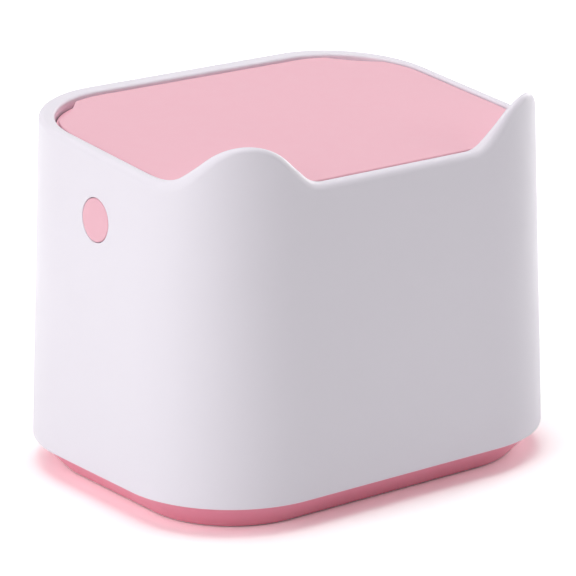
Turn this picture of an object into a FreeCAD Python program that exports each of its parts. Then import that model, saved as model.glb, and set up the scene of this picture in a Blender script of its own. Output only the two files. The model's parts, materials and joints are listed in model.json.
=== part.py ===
import FreeCAD, Part
import math
import os

V = FreeCAD.Vector

# A small cat-eared waste bin: a white sleeve stands on a pink tray round a pail.
# The lid tips up on two pins when the side button lets its striker go.
# Millimetres, +Z up, ears towards -Y, button towards -X, origin under the middle.

# Body, measured round the bottom edge of the sleeve
body_width = 220.0
body_depth = 172.0
corner_share = 0.3209
sleeve_base = 13.0
lean_share = 0.0384

# Top of the sleeve, a plane that slopes down towards the ears
rim_height = 159.1
rim_slope = 4.97
rim_thickness = 5.4
rim_rear_thickness = 9.4
rim_outer_round = 2.8
rim_inner_round = 1.4
rim_near_share = 0.05
wall = 2.2
hem_round = 1.2

# Ears, one on each front corner
ear_height = 19.45
ear_tip_radius = 24.3
ear_foot_radius = 11.7
ear_flank = 44.7
ear_turn = 27.6
ear_out = 0.4

# Clearances and the overrun of every cut
overrun = 1.0
lid_gap = 1.0
lid_front_gap = 2.1
lid_rear_gap = 3.1
flange_gap = 0.7
loose_fit = 0.6
button_gap = 0.35
slide_gap = 0.3
running_fit = 0.05
thread_fit = 0.03
bore_spare = 0.4

# Lid
lid_drop = 0.7
lid_skin = 2.0
lid_skirt_depth = 5.0
lid_skirt_wall = 2.0
lid_edge_round = 0.7
lid_step = 3.8
notch_chord = 27.7
notch_sag = 1.45
notch_turn = 41.0
liner_side_inset = 28.0
liner_end_inset = 14.0
liner_wall = 1.8
liner_radius = 20.0
boss_radius = 3.2
boss_inset = 15.0

# Hinge
lid_open = 80.0
hinge_lead = 0.4
hinge_room = 4.0
pin_radius = 1.2
pin_length = 20.0
eye_radius = 2.6
eye_width = 4.0
eye_inset = 7.7
knuckle_width = 6.0
knuckle_depth = 6.0
bracket_wall = 3.0
bracket_gap = 2.2
bracket_length = 27.0
bracket_screw_share = 0.31
tail_room = 5.8

# Collar under the rim that carries the lid
collar_wall = 3.0
collar_ledge = 12.5
collar_lap = 3.1
collar_screw_lap = 1.55
collar_screw_front = 30.0
collar_screw_side = 22.0

# Springs
lid_spring_wire = 0.7
lid_spring_pitch = 1.25
lid_spring_turns = 3.5
lid_spring_leg = 11.0
button_spring_wire = 0.7
button_spring_radius = 5.0
button_spring_turns = 3
button_spring_spare = 1.1

# Button and catch
button_radius = 9.7
button_drop = 30.0
button_face = 2.4
button_skirt = 1.5
button_skirt_depth = 5.0
button_travel = 3.2
stem_radius = 3.0
guide_wall = 2.0
guide_depth = 6.0
housing_wall = 2.5
housing_width = 46.0
housing_low = 12.0
housing_high = 9.0
housing_screw_spread = 17.0
housing_boss_radius = 3.6
slide_wall = 3.0
slide_width = 16.0
slide_low = 7.0
slide_high = 2.0
slide_room = 7.2
shelf_gap = 1.9
rail_wall = 2.0
rail_depth = 5.0
magnet_radius = 4.0
magnet_depth = 2.0
magnet_drop = 5.0
striker_wall = 1.2
striker_width = 18.0
striker_gap = 1.5
striker_spare = 1.6
striker_screw_spread = 5.5
striker_screw_back = 9.0
striker_flange = 14.0

# Screws: plain shank, pan head, cross recess
screw_radius = 1.0
screw_length = 4.6
long_screw_length = 7.6
screw_head_radius = 1.7
screw_head_depth = 1.3
recess_length = 2.2
recess_width = 0.5
recess_depth = 0.7

# Tray, pads and pail
tray_foot_inset = 13.5
tray_foot_radius = 42.4
tray_lip_inset = 2.0
tray_wall = 2.4
tray_edge_round = 2.0
tray_ridge = 5.0
ridge_wall = 2.2
pad_stand = 0.5
pad_recess = 1.1
pad_radius = 8.0
pad_spread_x = 68.0
pad_spread_y = 42.0
pail_wall = 1.8
pail_gap = 1.4
pail_lip = 3.0
pail_lip_depth = 2.0
pail_floor = 2.0

# Places that follow from the sizes above
half_width = body_width / 2
half_depth = body_depth / 2
corner_radius = corner_share * body_depth
slope = math.radians(rim_slope)
rim_lean = lean_share * (rim_height - sleeve_base)
rim_half_width = half_width - rim_lean
rim_half_depth = (half_depth - rim_lean) / math.cos(slope)
rim_radius = corner_radius - rim_lean
pocket_half_width = rim_half_width - rim_thickness
pocket_front = rim_thickness - rim_half_depth
pocket_rear = rim_half_depth - rim_rear_thickness
pocket_middle = (pocket_front + pocket_rear) / 2
pocket_half_depth = (pocket_rear - pocket_front) / 2
pocket_radius = rim_radius - rim_thickness
lid_top = -lid_drop
lid_floor = lid_top - lid_skin
seat = lid_top - lid_skirt_depth
lid_half_width = pocket_half_width - lid_gap
lid_front = pocket_front + lid_front_gap
lid_rear = pocket_rear - lid_rear_gap
lid_middle = (lid_front + lid_rear) / 2
lid_half_depth = (lid_rear - lid_front) / 2
lid_radius = pocket_radius - lid_front_gap
hinge_y = lid_rear - lid_radius - hinge_lead
hinge_z = seat
eye_start = lid_half_width - eye_inset - eye_width
knuckle_start = eye_start - slide_gap - knuckle_width
lid_spring_radius = lid_floor - hinge_z - lid_spring_wire / 2 - running_fit
pin_start = eye_start + eye_width - pin_length
ledge_edge = pocket_half_width - collar_ledge
screw_side = pocket_half_width + collar_screw_lap
screw_front = pocket_front - collar_screw_lap
collar_floor = seat - collar_wall
bracket_floor = collar_floor - bracket_wall
bracket_end = hinge_y - hinge_room
bracket_front = striker_width / 2 + bracket_gap
bracket_depth = bracket_end - bracket_front
bracket_rows = (bracket_front + bracket_depth * (0.5 - bracket_screw_share),
                bracket_front + bracket_depth * (0.5 + bracket_screw_share))
button_height = rim_height - button_drop
face_x = lean_share * (button_height - sleeve_base) - half_width
pressed_spring = (button_spring_turns + 1) * button_spring_wire + button_spring_spare
housing_seat = button_face + button_travel + pressed_spring
housing_x = face_x + housing_seat
slide_x = housing_x + housing_wall
slide_end = slide_x + slide_wall
striker_x = striker_gap - ledge_edge
upright_x = striker_x + striker_wall + slide_gap
slide_top = rim_height + seat - striker_wall - slide_room
magnet_z = slide_top - magnet_drop
striker_low = magnet_z - magnet_radius - striker_spare
striker_length = rim_height + seat - striker_low
shelf_top = striker_low - shelf_gap
shelf_floor = shelf_top - slide_wall
plate_top = max(shelf_top, button_height + slide_high)
liner_half_width = lid_half_width - liner_side_inset
liner_half_depth = lid_half_depth - liner_end_inset
tray_floor = pad_stand + tray_wall
tray_flare = (tray_foot_inset - tray_lip_inset) / (sleeve_base - pad_stand)
pail_top = rim_height + hinge_z - (lid_rear - hinge_y) - tail_room
pail_inset = tray_foot_inset + tray_wall * (math.hypot(1, tray_flare) - tray_flare) + loose_fit
pail_top_inset = wall + lean_share * (pail_top - sleeve_base) + pail_gap + pail_lip
pail_lean_share = (pail_inset - pail_top_inset) / (pail_top - tray_floor)
reach = body_width


def outline(hw, hd, r, z):
    """Closed rounded rectangle about the Z axis at height z."""
    a = r * (1 - math.sqrt(0.5))
    corners = ((1, -1), (1, 1), (-1, 1), (-1, -1))
    edges = []
    last = None
    first = None
    for i, (sx, sy) in enumerate(corners):
        on_side = V(sx * hw, sy * (hd - r), z)
        on_end = V(sx * (hw - r), sy * hd, z)
        start, end = (on_end, on_side) if i % 2 == 0 else (on_side, on_end)
        if last is None:
            first = start
        else:
            edges.append(Part.makeLine(last, start))
        edges.append(Part.Arc(start, V(sx * (hw - a), sy * (hd - a), z), end).toShape())
        last = end
    edges.append(Part.makeLine(last, first))
    return Part.Wire(edges)


def prism(hw, hd, r, z0, z1):
    """Straight rounded block from z0 to z1."""
    return Part.Face(outline(hw, hd, r, z0)).extrude(V(0, 0, z1 - z0))


def pocket_prism(spread, z0, z1):
    """Straight rounded block that is the lid's pocket, made wider on every side by spread."""
    shape = prism(pocket_half_width + spread, pocket_half_depth + spread, pocket_radius + spread,
                  z0, z1)
    shape.translate(V(0, pocket_middle, 0))
    return shape


def leaning(hw, hd, r, z0, z1, share):
    """Rounded block that narrows by share of its height on every side."""
    d = share * (z1 - z0)
    return Part.makeLoft([outline(hw, hd, r, z0), outline(hw - d, hd - d, r - d, z1)], True, True)


def block(x0, x1, y0, y1, z0, z1):
    """Box between two limits on each axis."""
    return Part.makeBox(x1 - x0, y1 - y0, z1 - z0, V(x0, y0, z0))


def rod(r, start, axis, length):
    """Round bar from start along axis."""
    return Part.makeCylinder(r, length, start, axis)


def tilted(shape):
    """Moves a shape from the level of the lid to its place on the sloping rim."""
    s = shape.copy()
    s.rotate(V(0, 0, 0), V(1, 0, 0), rim_slope)
    s.translate(V(0, 0, rim_height))
    return s


def level(point):
    """A point of the bin in the frame of the sloping rim."""
    y = point.y
    z = point.z - rim_height
    return V(point.x, y * math.cos(slope) + z * math.sin(slope),
             z * math.cos(slope) - y * math.sin(slope))


def mirrored(shape):
    """The same piece on the other side of the bin."""
    return shape.mirror(V(0, 0, 0), V(1, 0, 0))


def one(shapes):
    """Fuses touching shapes to one clean solid."""
    return shapes[0].fuse(shapes[1:]).removeSplitter()


def screw(place, axis, length):
    """A screw with its head's underside at place and its shank along axis."""
    up = V(0, 0, 1)
    shank = rod(screw_radius, V(0, 0, 0), -up, length)
    head = rod(screw_head_radius, V(0, 0, 0), up, screw_head_depth)
    floor = screw_head_depth - recess_depth
    half_l = recess_length / 2
    half_w = recess_width / 2
    top = screw_head_depth + overrun
    cross = one([block(-half_l, half_l, -half_w, half_w, floor, top),
                 block(-half_w, half_w, -half_l, half_l, floor, top)])
    s = one([shank, head]).cut(cross)
    s.Placement = FreeCAD.Placement(place, FreeCAD.Rotation(-up, axis))
    return s


def bore(place, axis, depth):
    """The hole for a screw, which starts a little outside place."""
    away = V(axis).normalize()
    return rod(screw_radius + thread_fit, place - away * overrun, away, depth + overrun)


def arc_from(p0, t0, p1):
    """Arc that leaves p0 along t0 and ends at p1."""
    c = p1 - p0
    along = V(c).normalize()
    side = t0 - along * t0.dot(along)
    angle = t0.getAngle(along)
    bulge = V(side).normalize() * (c.Length / 2 * math.tan(angle / 2))
    return Part.Arc(p0, p0 + c * 0.5 + bulge, p1).toShape()


def biarc(p0, t0, p1, t1):
    """Two arcs that meet smoothly between two points with given directions."""
    v = p1 - p0
    vt = v.dot(t0 + t1)
    q = 2 * (1 - t0.dot(t1))
    d = (math.sqrt(vt * vt + q * v.dot(v)) - vt) / q
    middle = (p0 + p1 + (t0 - t1) * d) * 0.5
    second = arc_from(p1, -t1, middle)
    second.reverse()
    return [arc_from(p0, t0, middle), second]


def coil(radius, wire, pitch, turns, leg):
    """Wound wire about the Z axis, with a straight leg at each end if leg is set."""
    def at(quarter):
        a = quarter * math.pi / 2
        return V(radius * math.cos(a), radius * math.sin(a), pitch * quarter / 4)

    def heading(quarter):
        a = quarter * math.pi / 2
        return V(-radius * math.sin(a), radius * math.cos(a), pitch / (2 * math.pi)).normalize()

    edges = []
    start = at(0)
    if leg:
        edges.append(Part.makeLine(start - heading(0) * leg, start))
    quarters = round(4 * turns)
    for quarter in range(quarters):
        edges += biarc(at(quarter), heading(quarter), at(quarter + 1), heading(quarter + 1))
    if leg:
        end = at(quarters)
        edges.append(Part.makeLine(end, end + heading(quarters) * leg))
    path = Part.Wire(edges)
    first = edges[0].valueAt(edges[0].FirstParameter)
    toward = edges[0].tangentAt(edges[0].FirstParameter)
    profile = Part.Wire(Part.makeCircle(wire / 2, first, toward))
    tube = path.makePipeShell([profile], True, False)
    samples = 9
    points = [p for e in edges for p in e.discretize(samples)]
    step = 6 * samples
    least = min((points[i] - p).Length for i in range(len(points))
                for p in points[i + step:] or [points[i] + V(0, 0, reach)])
    print("coil gap to itself", round(least - wire, 3))
    return tube


def placed(shape, side):
    """A piece of the lid's right side, or its mirror image, on the sloping rim."""
    return tilted(shape if side > 0 else mirrored(shape))


def export(name, shape):
    """Writes one named piece."""
    if not shape.isValid():
        print("not valid", name)
    shape.exportStep("parts/" + name + ".step")


def ear_tool(side):
    """What is cut away above the rim and round the ear of one front quarter."""
    flank = math.radians(ear_flank)
    turn = math.radians(ear_turn)
    bend = 1 - math.cos(flank)
    flank_length = (ear_height - (ear_tip_radius + ear_foot_radius) * bend) / math.sin(flank)
    half = (ear_tip_radius + ear_foot_radius) * math.sin(flank) + flank_length * math.cos(flank)
    out = V(side * math.sin(turn), -math.cos(turn), 0)
    along = V(math.cos(turn), side * math.sin(turn), 0)
    centre = V(side * (rim_half_width - rim_radius + ear_out), rim_radius - rim_half_depth, 0)

    def at(s, h):
        return centre + along * s + V(0, 0, h)

    def foot(sign):
        mid = flank / 2
        return (at(sign * half, 0),
                at(sign * (half - ear_foot_radius * math.sin(mid)),
                   ear_foot_radius * (1 - math.cos(mid))),
                at(sign * (half - ear_foot_radius * math.sin(flank)), ear_foot_radius * bend))

    left = foot(-1)
    right = foot(1)
    shoulder = ear_tip_radius * math.sin(flank)
    shoulder_height = ear_height - ear_tip_radius * bend
    far = reach
    edges = [
        Part.makeLine(at(-far, 0), left[0]),
        Part.Arc(*left).toShape(),
        Part.makeLine(left[2], at(-shoulder, shoulder_height)),
        Part.Arc(at(-shoulder, shoulder_height), at(0, ear_height),
                 at(shoulder, shoulder_height)).toShape(),
        Part.makeLine(at(shoulder, shoulder_height), right[2]),
        Part.Arc(right[2], right[1], right[0]).toShape(),
        Part.makeLine(right[0], at(far, 0)),
        Part.makeLine(at(far, 0), at(far, far)),
        Part.makeLine(at(far, far), at(-far, far)),
        Part.makeLine(at(-far, far), at(-far, 0)),
    ]
    face = Part.Face(Part.Wire(edges))
    face.translate(out * -far)
    tool = face.extrude(out * (2 * far))
    quarter = block(0, far, -far, 0, -far, 2 * far)
    return tool.common(quarter if side > 0 else mirrored(quarter))


def rim_edges(shape):
    """Edges round the outside and round the inside of the rim's crest."""
    outer = []
    inner = []
    near = rim_near_share * rim_thickness
    for e in shape.Edges:
        p = level(e.valueAt((e.FirstParameter + e.LastParameter) / 2))
        ends = [level(v.Point).z for v in e.Vertexes]
        if min(ends + [p.z]) < -near:
            continue
        hw = abs(p.x) - (pocket_half_width - pocket_radius)
        hd = abs(p.y - pocket_middle) - (pocket_half_depth - pocket_radius)
        away = math.hypot(max(hw, 0), max(hd, 0)) + min(max(hw, hd), 0) - pocket_radius
        if abs(away) < near:
            inner.append(e)
        elif len([v for v in e.Vertexes if rim_offset(v.Point) < near]) == len(e.Vertexes):
            outer.append(e)
    return outer, inner


def rim_offset(p):
    """Distance of a point from the outside of the sleeve."""
    d = lean_share * (p.z - sleeve_base)
    r = corner_radius - d
    hw = abs(p.x) - (half_width - d - r)
    hd = abs(p.y) - (half_depth - d - r)
    return abs(math.hypot(max(hw, 0), max(hd, 0)) + min(max(hw, hd), 0) - r)


def collar_screw_places():
    """Undersides of the collar's screw heads, on the slope of the rim."""
    return [V(side * x, y, collar_floor) for side in (-1, 1)
            for x, y in ((collar_screw_front, screw_front), (screw_side, -collar_screw_side))]


def bracket_screw_places():
    """Undersides of the hinge brackets' screw heads, on the slope of the rim."""
    return [V(side * screw_side, y, bracket_floor) for side in (-1, 1) for y in bracket_rows]


def boss_places():
    """Middles of the lid's screw bosses, at the underside of its liner."""
    x = liner_half_width - boss_inset
    y = liner_half_depth - boss_inset
    return [V(sx * x, lid_middle + sy * y, seat - liner_wall) for sx in (-1, 1) for sy in (-1, 1)]


def striker_screw_places():
    """Undersides of the striker's screw heads, on the slope of the rim."""
    return [V(striker_x + striker_screw_back, side * striker_screw_spread, seat - striker_wall)
            for side in (-1, 1)]


def housing_screw_places():
    """Undersides of the housing's screw heads, beside the button."""
    return [V(slide_x, side * housing_screw_spread, button_height) for side in (-1, 1)]


def outside_block():
    """The solid form of the sleeve's outside, well past the ears."""
    return leaning(half_width, half_depth, corner_radius, sleeve_base,
                   rim_height + body_depth, lean_share)


def make_sleeve():
    """White outer sleeve with the rim, the ears and the seats of the button."""
    inside = leaning(half_width - wall, half_depth - wall, corner_radius - wall,
                     sleeve_base, rim_height + body_depth, lean_share)
    inside = inside.cut(tilted(block(-reach, reach, -reach, reach, seat, reach)))
    pocket = tilted(pocket_prism(0, seat - overrun, reach))
    rear = tilted(block(-reach, reach, 0, reach, 0, 2 * reach))
    body = outside_block().cut([tilted(ear_tool(-1)), tilted(ear_tool(1)), rear])
    body = body.cut(pocket).removeSplitter()
    body = body.makeFillet(rim_outer_round, rim_edges(body)[0])
    body = body.makeFillet(rim_inner_round, rim_edges(body)[1])
    body = body.cut(inside)
    hem = [e for e in body.Edges if max(v.Z for v in e.Vertexes) < sleeve_base + thread_fit
           and all(rim_offset(v.Point) < thread_fit for v in e.Vertexes)]
    body = body.makeFillet(hem_round, hem)
    inward = V(1, 0, 0)
    root = wall / 2
    guide = rod(button_radius + button_gap + guide_wall, V(face_x + root, 0, button_height),
                inward, guide_depth - root)
    bosses = [rod(housing_boss_radius, V(face_x + root, p.y, p.z), inward, housing_seat - root)
              for p in housing_screw_places()]
    body = one([body, guide] + bosses)
    hole = rod(button_radius + button_gap, V(face_x - wall, 0, button_height), inward,
               wall + housing_seat)
    cuts = [hole]
    cuts += [bore(V(housing_x, p.y, p.z), -inward, screw_length - housing_wall + bore_spare)
             for p in housing_screw_places()]
    up = V(0, 0, 1)
    cuts += [tilted(bore(V(p.x, p.y, seat), up, screw_length - collar_wall + bore_spare))
             for p in collar_screw_places()]
    cuts += [tilted(bore(V(p.x, p.y, seat), up,
                         long_screw_length - collar_wall - bracket_wall + bore_spare))
             for p in bracket_screw_places()]
    return body.cut(cuts)


def make_collar():
    """Ledge under the rim, open at the back where the lid's tail dips."""
    ring = pocket_prism(collar_lap, collar_floor, seat)
    ring = ring.cut(pocket_prism(-collar_ledge, collar_floor - overrun, seat + overrun))
    ring = ring.cut(block(-reach, reach, bracket_end, reach, -reach, reach))
    holes = [bore(p, V(0, 0, 1), collar_wall + overrun) for p in collar_screw_places()]
    holes += [bore(V(p.x, p.y, collar_floor), V(0, 0, 1), collar_wall + overrun)
              for p in bracket_screw_places()]
    return ring.cut(holes)


def make_bracket():
    """Right hinge bracket: a foot under the collar, an eye for the pin, a stop for the tail."""
    outer = pocket_half_width + collar_lap
    foot = block(outer - bracket_length, outer, bracket_front, bracket_end,
                 bracket_floor, collar_floor)
    stop = math.radians(lid_open)
    stop_reach = (lid_floor - hinge_z + collar_wall * math.cos(stop)) / math.sin(stop)
    post = block(eye_start, eye_start + eye_width, bracket_end - hinge_room,
                 hinge_y + stop_reach - running_fit, bracket_floor, collar_floor)
    neck = block(eye_start, eye_start + eye_width, hinge_y - eye_radius,
                 hinge_y + eye_radius, bracket_floor, hinge_z)
    eye = rod(eye_radius, V(eye_start, hinge_y, hinge_z), V(1, 0, 0), eye_width)
    bracket = one([foot, post, neck, eye])
    hole = rod(pin_radius + running_fit, V(eye_start - overrun, hinge_y, hinge_z), V(1, 0, 0),
               eye_width + 2 * overrun)
    holes = [bore(p, V(0, 0, 1), bracket_wall + overrun)
             for p in bracket_screw_places() if p.x > 0]
    return bracket.cut([hole] + holes)


def make_pin():
    """Right hinge pin, through the lid's knuckle and the bracket's eye."""
    return rod(pin_radius, V(pin_start, hinge_y, hinge_z), V(1, 0, 0), pin_length)


def make_lid_spring():
    """Right torsion spring, round the pin beside the knuckle."""
    spring = coil(lid_spring_radius, lid_spring_wire, lid_spring_pitch, lid_spring_turns,
                  lid_spring_leg)
    spring.rotate(V(0, 0, 0), V(0, 1, 0), 90)
    length = lid_spring_pitch * lid_spring_turns
    spring.translate(V(knuckle_start - lid_spring_wire - length, hinge_y, hinge_z))
    return spring


def lid_form(inset, z0, z1):
    """Outline of the lid with a finger notch at each rear corner, drawn in by inset."""
    form = prism(lid_half_width - inset, lid_half_depth - inset, lid_radius - inset, z0, z1)
    form.translate(V(0, lid_middle, 0))
    turn = math.radians(notch_turn)
    half = notch_chord / 2
    notch_radius = (half * half + notch_sag * notch_sag) / (2 * notch_sag)
    depth = math.sqrt(lid_radius * lid_radius - half * half) - notch_sag
    centre = V(lid_radius - lid_half_width, lid_rear - lid_radius, z0 - overrun)
    centre += V(-math.sin(turn), math.cos(turn), 0) * (depth + notch_radius)
    notch = rod(notch_radius + inset, centre, V(0, 0, 1), z1 - z0 + 2 * overrun)
    return form.cut([notch, mirrored(notch)])


def make_lid():
    """Pink lid panel with its stepped edge, skirt, screw bosses and hinge knuckles."""
    panel = lid_form(0, seat, lid_top)
    crest = [e for e in panel.Edges if min(v.Z for v in e.Vertexes) > lid_top - thread_fit]
    panel = panel.makeFillet(lid_edge_round, crest)
    panel = one([panel, pocket_prism(-flange_gap, seat, lid_top - lid_step)])
    panel = panel.cut(lid_form(lid_skirt_wall, seat - overrun, lid_floor))
    up = V(0, 0, 1)
    bosses = [rod(boss_radius, V(p.x, p.y, seat), up, lid_floor - seat)
              for p in boss_places() + striker_screw_places()]
    drop = knuckle_depth / 2
    knuckle = block(knuckle_start, knuckle_start + knuckle_width, hinge_y - drop, hinge_y + drop,
                    hinge_z, lid_floor)
    knuckle = one([knuckle, rod(drop, V(knuckle_start, hinge_y, hinge_z), V(1, 0, 0),
                                knuckle_width)])
    panel = one([panel] + bosses + [knuckle, mirrored(knuckle)])
    hole = rod(pin_radius + running_fit, V(knuckle_start - overrun, hinge_y, hinge_z), V(1, 0, 0),
               knuckle_width + 2 * overrun)
    holes = [hole, mirrored(hole)]
    holes += [bore(V(p.x, p.y, seat), up, screw_length - liner_wall) for p in boss_places()]
    holes += [bore(V(p.x, p.y, seat), up, screw_length - striker_wall)
              for p in striker_screw_places()]
    return panel.cut(holes)


def make_liner():
    """Plate that stiffens the lid from below."""
    plate = prism(liner_half_width, liner_half_depth, liner_radius, seat - liner_wall, seat)
    plate.translate(V(0, lid_middle, 0))
    return plate.cut([bore(p, V(0, 0, 1), liner_wall + overrun) for p in boss_places()])


def make_striker():
    """Bent steel strip under the lid that the magnet holds."""
    half = striker_width / 2
    blade = block(striker_x, striker_x + striker_wall, -half, half, seat - striker_length, seat)
    flange = block(striker_x, striker_x + striker_flange, -half, half, seat - striker_wall, seat)
    holes = [bore(p, V(0, 0, 1), striker_wall + overrun) for p in striker_screw_places()]
    return one([blade, flange]).cut(holes)


def make_button():
    """Pink button cap, flush with the sleeve, on a stem."""
    inward = V(1, 0, 0)
    start = face_x - wall
    cap = rod(button_radius, V(start, 0, button_height), inward, wall + button_skirt_depth)
    hollow = rod(button_radius - button_skirt, V(face_x + button_face, 0, button_height), inward,
                 button_skirt_depth)
    stem = rod(stem_radius, V(face_x + button_face, 0, button_height), inward,
               slide_x - face_x - button_face)
    cap = one([cap.common(outside_block()).cut(hollow), stem])
    return cap.cut(bore(V(slide_x, 0, button_height), -inward, screw_length - slide_wall))


def make_slide():
    """Catch slide on the button's stem: it reaches under the striker to hold the magnet."""
    half = slide_width / 2
    inward = V(1, 0, 0)
    plate = block(slide_x, slide_end, -half, half, button_height - slide_low, plate_top)
    shelf = block(slide_x, upright_x + slide_wall, -half, half, shelf_floor, shelf_top)
    upright = block(upright_x, upright_x + slide_wall, -half, half, shelf_floor, slide_top)
    slot = block(slide_end, upright_x, -screw_head_radius - slide_gap,
                 screw_head_radius + slide_gap, shelf_floor - overrun, slide_top)
    body = one([plate, shelf, upright]).cut(slot)
    magnet = rod(magnet_radius + thread_fit, V(upright_x - overrun, 0, magnet_z),
                 inward, magnet_depth + overrun)
    return body.cut([magnet, bore(V(slide_end, 0, button_height), -inward, slide_wall + overrun)])


def make_magnet():
    """Disc magnet in the face of the slide."""
    return rod(magnet_radius, V(upright_x, 0, magnet_z), V(1, 0, 0), magnet_depth)


def make_housing():
    """Plate behind the button that guides its stem and the slide."""
    half = housing_width / 2
    inward = V(1, 0, 0)
    plate = block(housing_x, slide_x, -half, half, button_height - housing_low,
                  button_height + housing_high)
    inner = slide_width / 2 + slide_gap
    rail = block(slide_x, slide_x + rail_depth, inner, inner + rail_wall,
                 button_height - slide_low, button_height + slide_low)
    opposite = rail.mirror(V(0, 0, 0), V(0, 1, 0))
    hole = rod(stem_radius + running_fit, V(housing_x - overrun, 0, button_height), inward,
               housing_wall + 2 * overrun)
    holes = [bore(p, -inward, housing_wall + overrun) for p in housing_screw_places()]
    return one([plate, rail, opposite]).cut([hole] + holes)


def make_button_spring():
    """Coil spring between the button's cap and the housing."""
    room = housing_seat - button_face - 2 * button_spring_wire
    spring = coil(button_spring_radius, button_spring_wire, room / button_spring_turns,
                  button_spring_turns, 0)
    spring.rotate(V(0, 0, 0), V(0, 1, 0), 90)
    spring.translate(V(face_x + button_face + button_spring_wire, 0, button_height))
    return spring


def make_tray():
    """Pink base tray under the sleeve, with a ridge that centres it."""
    foot_hw = half_width - tray_foot_inset
    foot_hd = half_depth - tray_foot_inset
    lip_hw = half_width - tray_lip_inset
    lip_hd = half_depth - tray_lip_inset
    lip_r = corner_radius - tray_lip_inset
    body = Part.makeLoft([outline(foot_hw, foot_hd, tray_foot_radius, pad_stand),
                          outline(lip_hw, lip_hd, lip_r, sleeve_base)], True, True)
    sole = [e for e in body.Edges if max(v.Z for v in e.Vertexes) < pad_stand + thread_fit]
    body = body.makeFillet(tray_edge_round, sole)
    side = tray_wall * math.hypot(1, tray_flare)
    rise = tray_flare * tray_wall
    hollow = Part.makeLoft([outline(foot_hw + rise - side, foot_hd + rise - side,
                                    tray_foot_radius, tray_floor),
                            outline(lip_hw - side, lip_hd - side, lip_r - side, sleeve_base)],
                           True, True)
    ridge_inset = wall + loose_fit
    ridge = prism(half_width - ridge_inset, half_depth - ridge_inset, corner_radius - ridge_inset,
                  sleeve_base, sleeve_base + tray_ridge)
    inner = ridge_inset + ridge_wall
    ridge = ridge.cut(prism(half_width - inner, half_depth - inner, corner_radius - inner,
                            sleeve_base - overrun, sleeve_base + tray_ridge + overrun))
    body = one([body.cut(hollow), ridge])
    return body.cut([rod(pad_radius + thread_fit, V(p.x, p.y, -overrun), V(0, 0, 1),
                         pad_stand + pad_recess + overrun) for p in pad_places()])


def pad_places():
    """Middles of the four pads on the floor."""
    return [V(sx * pad_spread_x, sy * pad_spread_y, 0) for sx in (-1, 1) for sy in (-1, 1)]


def make_pail():
    """Loose pail that stands in the tray."""
    hw = half_width - pail_inset
    hd = half_depth - pail_inset
    r = tray_foot_radius
    outside = leaning(hw, hd, r, tray_floor, pail_top, -pail_lean_share)
    grow = pail_lean_share * (pail_top - tray_floor)
    lip = prism(hw + grow + pail_lip, hd + grow + pail_lip, r + grow + pail_lip,
                pail_top - pail_lip_depth, pail_top)
    floor = tray_floor + pail_floor
    thin = pail_wall - pail_lean_share * pail_floor
    inside = leaning(hw - thin, hd - thin, r - thin, floor, pail_top + overrun, -pail_lean_share)
    return one([outside, lip]).cut(inside)


os.makedirs("parts", exist_ok=True)

export("outer_sleeve", make_sleeve())
export("top_collar", tilted(make_collar()))
export("collar_screws", Part.makeCompound([tilted(screw(p, V(0, 0, 1), screw_length))
                                           for p in collar_screw_places()]))
for side, name in ((1, "right"), (-1, "left")):
    export("hinge_bracket_" + name, placed(make_bracket(), side))
    export("hinge_pin_" + name, placed(make_pin(), side))
    export("lid_spring_" + name, placed(make_lid_spring(), side))
export("bracket_screws", Part.makeCompound([tilted(screw(p, V(0, 0, 1), long_screw_length))
                                            for p in bracket_screw_places()]))
export("lid_panel", tilted(make_lid()))
export("lid_liner", tilted(make_liner()))
export("liner_screws", Part.makeCompound([tilted(screw(p, V(0, 0, 1), screw_length))
                                          for p in boss_places()]))
export("striker", tilted(make_striker()))
export("striker_screws", Part.makeCompound([tilted(screw(p, V(0, 0, 1), screw_length))
                                            for p in striker_screw_places()]))
export("push_button", make_button())
export("catch_slide", make_slide())
export("catch_magnet", make_magnet())
export("slide_screw", screw(V(slide_end, 0, button_height), V(-1, 0, 0), screw_length))
export("button_housing", make_housing())
export("housing_screws", Part.makeCompound([screw(p, V(-1, 0, 0), screw_length)
                                            for p in housing_screw_places()]))
export("button_spring", make_button_spring())
export("base_tray", make_tray())
export("foot_pads", Part.makeCompound([rod(pad_radius, p, V(0, 0, 1), pad_stand + pad_recess)
                                       for p in pad_places()]))
export("inner_pail", make_pail())
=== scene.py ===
import json
import math

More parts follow.
